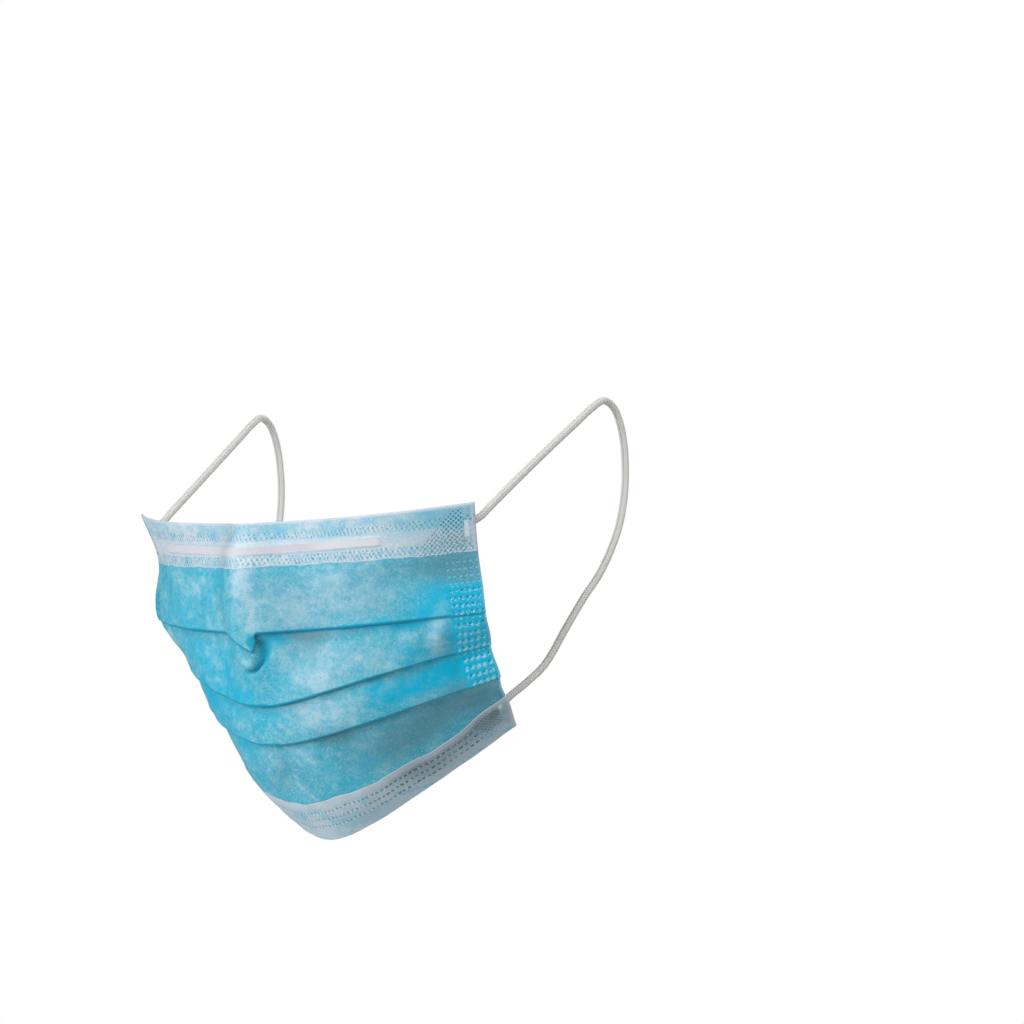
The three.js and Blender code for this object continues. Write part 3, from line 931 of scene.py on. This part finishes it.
def panel_material():
    net = Nodes("blue_nonwoven")
    cloth = net.attribute("cloth")
    side, down, _, flat = cloth
    edge, rows, width, _ = net.attribute("weld")
    above, below, shown, _ = net.attribute("fold")
    shade, grain = nonwoven(net, cloth)
    specks, fibres, bonds = grain
    net.colour = DEEP_BLUE
    net.coat(MID_BLUE, net.ramp(shade, 0.39, 0.53, 0.3, 1.0))
    net.coat(PALE_BLUE, net.ramp(shade, 0.5, 0.64, 0.0, 0.75))
    add_tints_and_light(net, shade, grain, PANEL_TONES, 0.45)

    # Painted shade: the hollow beside the nose, a thin darker line along each fold with grey shade
    # under it, and strong blue in its gap and just under it, so the fold's shadow reads teal
    net.coat(HOLLOW_SHADE_BLUE, net.attribute("hollow")[0], 0.85)
    # Painted shade: a thin darker line along each fold's turn, wider at the beak
    beak = net.ramp(net.math("ABSOLUTE", net.plus(side, 0.5)), 6.0, 3.0)
    near = net.scaled(beak, -0.5, above)
    net.coat(LIP_SHADE_BLUE, net.ramp(near, 0.95, 0.45), net.ramp(shown, 0.4, 0.6), 0.9)
    # Painted shade: grey for a few millimetres under each fold, away from the side welds
    net.coat(GREY_AND_SHADE_BLUE, net.ramp(below, 5.0, 0.8), net.ramp(edge, 20.0, 36.0), 0.35)
    # Painted shadow: strong blue in the hidden folds and just under each fold, so its shadow reads
    # teal
    gap_shadow = net.larger(net.ramp(below, 1.3, 0.3), net.ramp(shown, 0.6, 0.4))
    net.coat(STRONG_AND_SHADOW_BLUE, gap_shadow, 0.75)

    # Weld grid: four rows of small pressed oblongs above each fold, and faint ones higher up
    wobble = net.scaled(net.noise(flat, 0.5), 0.5, -0.25)
    along = net.plus(net.over(edge, WELD_PITCH), wobble)
    past = net.minus(width, edge)
    strip = net.times(net.ramp(edge, 0.4, 0.7), net.ramp(past, -0.3, 0.3))
    grid = net.times(strip, net.band(rows, 0.05, 4.1, 0.15))
    ragged = net.scaled(net.noise(flat, 0.35), 3.0, past)
    ragged = net.times(net.ramp(ragged, -0.6, 1.6), net.band(rows, -0.5, 4.0, 0.8))
    slant = net.scaled(rows, 0.25, along)
    broken = net.ramp(net.noise(flat, 0.8), 0.3, 0.55, 0.45, 1.0)
    marks = net.times(net.pulse(slant, 0.34, 0.2), net.pulse(rows, 0.26, 0.16), grid, broken)
    crumple = net.minus(net.noise(flat, 1.3, 1.0), 0.5)
    shifted = net.scaled(crumple, 0.9, net.plus(slant, 0.24))
    lowered = net.scaled(crumple, 0.8, net.plus(rows, 0.2))
    denser = net.ramp(down, 34.0, 62.0, -0.07, 0.06)
    denser = net.ramp(net.plus(net.noise(flat, 1.6, 2.0), denser), 0.38, 0.56)
    rims = net.times(net.pulse(shifted, 0.65, 0.3), net.pulse(lowered, 0.5, 0.25), grid)
    rims = net.times(rims, denser)
    faint = net.times(strip, net.band(rows, 4.2, 7.6, 0.15), net.ramp(width, 9.0, 9.4))
    faint = net.times(faint, net.pulse(along, 0.6), net.pulse(rows, 0.3), broken)
    # The weld strip's strong blue: deeper on the first panel, brighter on the lower ones as
    # painted light for their dimmer light
    net.coat(net.mix(net.ramp(down, 38.0, 44.0), WELD_DEEP, WELD_LIT_BLUE), ragged, 0.9)
    net.coat(MARK_PALE, rims, 0.9)
    net.coat(MARK_DARK, marks, 0.65)
    net.coat(MARK_PALE, faint, 0.22)
    net.coat(MARK_PALE, net.ramp(edge, 0.9, 0.2, 0.0, 0.5))
    net.coat(INNER_WHITE, net.attribute("face")[0])

    height = net.scaled(fibres, 0.5, net.times(specks, 0.6))
    height = net.scaled(bonds, -0.3, height)
    height = net.scaled(net.larger(marks, net.times(faint, 0.5)), -1.6, height)
    height = net.scaled(rims, 0.5, height)
    return net.finish(height, PANEL_RELIEF, 0.7, 0.04)


def top_hem_material():
    net = Nodes("top_hem_nonwoven")
    cloth = net.attribute("cloth")
    side, down, _, flat = cloth
    edge, share, wire, _ = net.attribute("weld")
    shade, grain = nonwoven(net, cloth)
    net.colour = HEM_SHADE
    net.coat(HEM_BLUE, net.ramp(shade, 0.36, 0.5))
    net.coat(HEM_PALE, net.ramp(shade, 0.46, 0.62))
    net.coat(HEM_PALE, net.band(share, 0.43, 0.755, 0.02), 0.8)
    add_tints_and_light(net, shade, grain, TOP_HEM_TONES, 0.35)

    # Weld dots: two double rows, and a diagonal patch at each end; the pale dots beside the
    # pressed ones are painted highlights
    slant = net.scaled(down, -0.75, edge)
    corner = net.times(net.ramp(edge, 3.2, 3.8), net.ramp(slant, 7.4, 5.2))
    corner = net.times(corner, net.ramp(share, 0.07, 0.1))
    upper = net.band(share, 0.235, 0.42, 0.012)
    under = net.band(share, 0.765, 0.95, 0.012)
    rows = net.times(net.larger(upper, under), net.minus(1.0, corner))
    loose = net.minus(net.noise(flat, 0.6, 2.0), 0.5)
    broken = net.ramp(net.noise(flat, 0.7, 2.0), 0.38, 0.58, 0.3, 1.0)
    across = net.scaled(loose, 2.2, side)
    level = net.scaled(loose, 1.6, down)
    dots = net.times(net.lattice(across, level, DOT_PITCH, 0.3, 0.75), rows, broken)
    # Painted highlights: pale dots half a pitch beside the pressed dots
    between = net.plus(across, 0.8)
    lights = net.times(net.lattice(between, level, DOT_PITCH, 0.2, 0.7), rows, broken)
    dense = net.times(corner, net.ramp(share, 0.58, 0.48), net.ramp(edge, 10.4, 9.8))
    looser = net.times(loose, net.ramp(dense, 1.0, 0.0, 0.4, 1.8))
    hatch_u = net.plus(edge, looser)
    hatch_v = net.plus(down, looser)
    hatch = net.times(net.lattice(hatch_u, hatch_v, HATCH_PITCH, 0.3, 0.75), corner)
    # Painted highlights: pale dots beside the dots of the patch
    shifted = net.lattice(net.plus(hatch_u, 0.75), hatch_v, HATCH_PITCH, 0.2, 0.7)
    fainter = net.ramp(share, 0.5, 0.6, 0.7, 1.0)
    spot = net.times(net.band(edge, 2.2, 3.3, 0.25), net.band(share, 0.34, 0.66, 0.03))
    net.coat(HEM_SHADE, dense, 0.65)
    net.coat(DOT_PALE, lights, 0.4, fainter)
    net.coat(DOT_DARK, dots, 0.7, fainter)
    net.coat(DOT_PALE, shifted, corner, broken, 0.4)
    net.coat(HATCH_DARK, hatch, net.scaled(dense, 0.25, 0.62))
    net.coat(DOT_PALE, spot, 0.5)

    # Paler edges, with a painted highlight along the fold at the top, the wire that shows through,
    # and the plain back
    pale_edges_and_highlight = net.larger(
        net.ramp(share, 0.955, 0.985, 0.0, 0.3),
        net.ramp(share, 0.07, 0.02, 0.0, 0.6),
        net.ramp(edge, 1.6, 0.5, 0.0, 0.6),
    )
    net.coat(EDGE_PALE, pale_edges_and_highlight)
    through = net.mix(net.ramp(side, 2.0, 14.0), WIRE_PINK, WIRE_DULL)
    net.coat(net.mix(net.ramp(side, 24.0, 38.0), through, WIRE_PALE), wire)
    net.coat(INNER_WHITE, net.attribute("face")[0])

    specks, fibres, _ = grain
    height = net.scaled(fibres, 0.4, net.times(specks, 0.5))
    pressed = net.larger(dots, hatch, net.times(spot, 0.7))
    height = net.scaled(pressed, -1.5, height)
    height = net.times(height, net.ramp(wire, 1.0, 0.0, 0.3, 1.0))
    return net.finish(height, HEM_RELIEF, 0.65, 0.04)


def bottom_hem_material():
    net = Nodes("bottom_hem_nonwoven")
    cloth = net.attribute("cloth")
    side, down, _, flat = cloth
    edge, share, _, _ = net.attribute("weld")
    shade, grain = nonwoven(net, cloth)
    net.colour = HEM_SHADE
    net.coat(HEM_BLUE, net.ramp(shade, 0.34, 0.48))
    net.coat(HEM_GREY, net.ramp(shade, 0.4, 0.56))
    net.coat(HEM_GREY, net.ramp(share, 0.4, 0.0, 0.0, 0.8))
    add_tints_and_light(net, shade, grain, BOTTOM_HEM_TONES, 0.32)

    # Three rows of dashes, and a diagonal patch, a round spot and a darker one at each end
    net.coat(HEM_PALE, net.ramp(share, 0.17, 0.1, 0.0, 0.45))
    rows = net.band(share, DASH_START, DASH_END, 0.01)
    rows = net.times(rows, net.ramp(edge, 11.0, 12.0))
    line = net.over(net.minus(share, DASH_START), DASH_ROW_PITCH)
    shift = net.times(net.math("FLOOR", line), 0.4)
    wobble = net.scaled(net.noise(flat, 0.7, 2.0), 0.8, shift)
    step = net.plus(net.over(side, DASH_PITCH), wobble)
    broken = net.ramp(net.noise(flat, 0.5, 2.0), 0.35, 0.6, 0.45, 1.0)
    dashes = net.times(net.pulse(step, 0.62, 0.2), net.pulse(line, 0.3), rows, broken)
    between = net.plus(step, 0.5)
    glints = net.times(net.pulse(between, 0.3), net.pulse(line, 0.4), rows)
    slant = net.scaled(share, 8.0, edge)
    corner = net.times(net.ramp(edge, 3.4, 4.2), net.ramp(slant, 14.6, 13.4))
    corner = net.times(corner, net.band(share, 0.1, 0.6, 0.03))
    hatch = net.times(net.lattice(edge, down, HATCH_PITCH, 0.15, 0.6), corner)
    spot = net.round_spot(edge, share, (2.9, 0.19), (0.62, 0.07))
    net.coat(DOT_PALE, glints, net.ramp(edge, 34.0, 62.0, 0.15, 0.6))
    net.coat(DASH_DARK, dashes, net.ramp(edge, 62.0, 40.0, 0.4, 0.85))
    net.coat(DASH_GREY, corner, 0.1)
    net.coat(DASH_DARK, hatch, 0.6, broken)
    net.coat(DOT_PALE, spot, 0.7)
    net.coat(HEM_TEAL, net.round_spot(edge, share, (5.4, 0.27), (1.7, 0.12)), 0.5)
    net.coat(EDGE_PALE, net.ramp(edge, 1.2, 0.4, 0.0, 0.5))
    net.coat(INNER_WHITE, net.attribute("face")[0])

    specks, fibres, _ = grain
    height = net.scaled(fibres, 0.4, net.times(specks, 0.5))
    height = net.scaled(net.larger(dashes, hatch, spot), -1.5, height)
    return net.finish(height, HEM_RELIEF, 0.65, 0.04)


def elastic_material():
    """Round knitted elastic: fine rows of slanted stitches."""
    net = Nodes("white_elastic")
    along, turned, _, cord = net.attribute("cord")
    slant = net.from_middle(net.times(turned, CORD_WALES / (2 * math.pi)))
    phase = net.scaled(slant, 1.3, net.over(along, STITCH_PITCH))
    height = net.ramp(net.wave(phase, 1.0), -0.8, 0.9)
    height = net.times(height, net.ramp(slant, 0.48, 0.36))
    fuzz = net.noise(cord, 3.0, 2.0, 0.6, (1.0, 1.5, 1.0))
    # Painted shade: grey between the stitches, white on their tops
    net.colour = CORD_SHADE
    net.coat(CORD_WHITE, net.ramp(height, 0.0, 0.7))
    net.coat(CORD_SHADE, net.ramp(fuzz, 0.5, 0.8, 0.0, 0.3))
    return net.finish(net.scaled(fuzz, 0.3, height), CORD_RELIEF, 0.85, 0.1)


def wire_material():
    """Smooth white coating with faint long scratches."""
    net = Nodes("wire_coating")
    streaks = net.noise(net.attribute("cloth")[3], 0.9, 3.0, 0.6, (0.15, 3.0, 1.0))
    net.colour = COATING_PALE
    net.coat(COATING_DULL, net.ramp(streaks, 0.4, 0.7))
    return net.finish(streaks, WIRE_RELIEF, 0.4, 0.0)


# Pieces


def add_panel():
    columns = Columns(across_values(PANEL_COLUMNS))
    distance, offset, limits = cloth_path(columns)
    points = columns.place(distance, offset - PLY / 2)
    panel = shell("panel_cloth", points, PLY, panel_attributes(columns, distance, limits))
    panel.data.materials.append(panel_material())
    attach(panel, "root")
    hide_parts("outer_panel")


def add_hem(name, path_of, tints_and_light, material, node):
    columns = Columns(across_values(HEM_COLUMNS))
    distance, offset, start, end, wire = path_of(columns)
    points = columns.place(distance, offset - PLY / 2)
    attributes = hem_attributes(columns, distance, start, end, wire, tints_and_light)
    attributes["face"] = np.stack([(offset < 0).astype(float)] * 3, -1)
    hem = shell(name, points, HEM_PLY, attributes)
    hem.data.materials.append(material)
    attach(hem, "root")
    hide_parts(node)


def add_wire():
    """The flat strip under the top hem's ridge, with square ends and rounded long edges."""
    reach = WIRE_REACH / HALF_WIDTH - WIRE_SHORTER
    columns = Columns(np.linspace(-reach, reach, WIRE_COLUMNS))
    line = wire_line(columns)
    middle = HEM_LIFT - HEM_PLY / 2 + WIRE_THICKNESS / 2 - PLY / 2
    share = np.linspace(-0.5, 0.5, WIRE_LINES)
    distance = line[:, None] + share[None, :] * (WIRE_WIDTH - WIRE_NARROWER)
    points = columns.place(distance, np.full_like(distance, middle))
    attributes = {"cloth": cloth_attribute(columns, distance)}
    wire = shell("nose_strip", points, WIRE_THICKNESS - WIRE_THINNER, attributes)
    wire.data.materials.append(wire_material())
    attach(wire, "root")
    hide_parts("nose_wire")


def smooth_route(side):
    """The cord's middle line: many points on one curve through the route."""
    points = [Vector((side * x, y, z)) * MM for x, y, z in LOOP_ROUTE]
    knots = [0.0]
    for before, here in zip(points, points[1:]):
        knots.append(knots[-1] + math.sqrt((here - before).length))
    fine = []
    for index in range(len(points) - 1):
        p1, p2 = points[index], points[index + 1]
        t1, t2 = knots[index], knots[index + 1]
        p0 = points[index - 1] if index else p1 * 2 - p2
        t0 = knots[index - 1] if index else 2 * t1 - t2
        end = index == len(points) - 2
        p3 = p2 * 2 - p1 if end else points[index + 2]
        t3 = 2 * t2 - t1 if end else knots[index + 2]
        leave = (p1 - p0) / (t1 - t0) - (p2 - p0) / (t2 - t0) + (p2 - p1) / (t2 - t1)
        arrive = (p2 - p1) / (t2 - t1) - (p3 - p1) / (t3 - t1) + (p3 - p2) / (t3 - t2)
        steps = max(4, round((p2 - p1).length / CORD_STEP))
        for step in range(steps + (1 if end else 0)):
            fine.append(hermite(step / steps, p1, leave * (t2 - t1), p2, arrive * (t2 - t1)))
    return np.array([list(point) for point in fine])


def tube(name, route, radius, sides):
    """A closed tube with flat ends round a route."""
    steps = np.linalg.norm(np.diff(route, axis=0), axis=1)
    along = np.concatenate([[0.0], np.cumsum(steps)])
    tangents = np.gradient(route, axis=0)
    tangents /= np.linalg.norm(tangents, axis=1, keepdims=True)
    first = np.cross(tangents, np.array([1.0, 0.0, 0.0]))
    first /= np.linalg.norm(first, axis=1, keepdims=True)
    second = np.cross(tangents, first)
    angle = np.linspace(0.0, 2 * math.pi, sides, endpoint=False)
    ring = first[:, None] * np.cos(angle)[:, None] + second[:, None] * np.sin(angle)[:, None]
    points = route[:, None] + ring * radius
    count = len(route)
    index = np.arange(count * sides).reshape(count, sides)
    following = np.roll(index, -1, axis=1)
    walls = np.stack([index[:-1], index[1:], following[1:], following[:-1]], -1).reshape(-1, 4)
    faces = walls.tolist() + [index[0].tolist(), index[-1][::-1].tolist()]
    mesh = bpy.data.meshes.new(name)
    mesh.from_pydata(points.reshape(-1, 3).tolist(), [], faces)
    turned = np.broadcast_to(angle[None, :], (count, sides))
    length = np.broadcast_to(along[:, None] / MM, (count, sides))
    add_attribute(mesh, "cord", np.stack([length, turned, np.zeros_like(length)], -1))
    mesh.update()
    return link(name, mesh), along[-1]


def add_ear_loop(name, side, material, node):
    route = smooth_route(side)
    loop, length = tube(name, route, CORD_DIAMETER / 2, CORD_SIDES)
    loop.data.materials.append(material)
    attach(loop, "root")
    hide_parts(node)


# Stage


def add_area_light(name, azimuth, elevation, distance, size, power):
    """A round soft light that shines on the mask from this direction."""
    away = towards(azimuth, elevation)
    data = bpy.data.lights.new(name, "AREA")
    data.shape = "DISK"
    data.size = size
    data.energy = power
    light = bpy.data.objects.new(name, data)
    light.location = MASK_CENTRE + away * distance
    light.rotation_mode = "QUATERNION"
    light.rotation_quaternion = away.to_track_quat("Z", "Y")
    bpy.context.scene.collection.objects.link(light)


def add_floor():
    mesh = bpy.data.meshes.new("floor")
    corners = [(-1, -1), (1, -1), (1, 1), (-1, 1)]
    vertices = [(FLOOR_HALF * x, FLOOR_HALF * y, FLOOR_HEIGHT) for x, y in corners]
    mesh.from_pydata(vertices, [], [(0, 1, 2, 3)])
    floor = bpy.data.objects.new("floor", mesh)
    bpy.context.scene.collection.objects.link(floor)
    net = Nodes("pale_floor")
    net.shader.inputs["Base Color"].default_value = FLOOR_WHITE
    net.shader.inputs["Roughness"].default_value = FLOOR_ROUGHNESS
    mesh.materials.append(net.material)


def add_white_surroundings():
    """White behind the mask, and a dimmer white light on it from all sides."""
    world = bpy.data.worlds.new("studio")
    bpy.context.scene.world = world
    world.use_nodes = True
    tree = world.node_tree
    background = tree.nodes["Background"]
    background.inputs["Color"].default_value = (1.0, 1.0, 1.0, 1.0)
    direction = tree.nodes.new("ShaderNodeTexCoord")
    slope = tree.nodes.new("ShaderNodeVectorMath")
    slope.operation = "DOT_PRODUCT"
    slope.inputs[1].default_value = AMBIENT_SLOPE
    tree.links.new(direction.outputs["Generated"], slope.inputs[0])
    ambient = tree.nodes.new("ShaderNodeMath")
    ambient.inputs[1].default_value = AMBIENT
    tree.links.new(slope.outputs["Value"], ambient.inputs[0])
    path = tree.nodes.new("ShaderNodeLightPath")
    strength = tree.nodes.new("ShaderNodeMapRange")
    strength.inputs["To Max"].default_value = 1.0
    tree.links.new(ambient.outputs[0], strength.inputs["To Min"])
    tree.links.new(path.outputs["Is Camera Ray"], strength.inputs["Value"])
    tree.links.new(strength.outputs[0], background.inputs["Strength"])


bpy.context.scene.view_settings.view_transform = "Standard"
add_camera()
elastic = elastic_material()
add_ear_loop("elastic_left", 1, elastic, "ear_loop_left")
add_ear_loop("elastic_right", -1, elastic, "ear_loop_right")
add_panel()
top_cloth, bottom_cloth = top_hem_material(), bottom_hem_material()
add_hem("top_hem_cloth", top_hem_path, TOP_HEM_TINTS_AND_LIGHT, top_cloth, "top_hem")
add_hem(
    "bottom_hem_cloth", bottom_hem_path, BOTTOM_HEM_TINTS_AND_LIGHT, bottom_cloth, "bottom_hem"
)
add_wire()
add_floor()
add_white_surroundings()
for light in LIGHTS:
    add_area_light(*light)
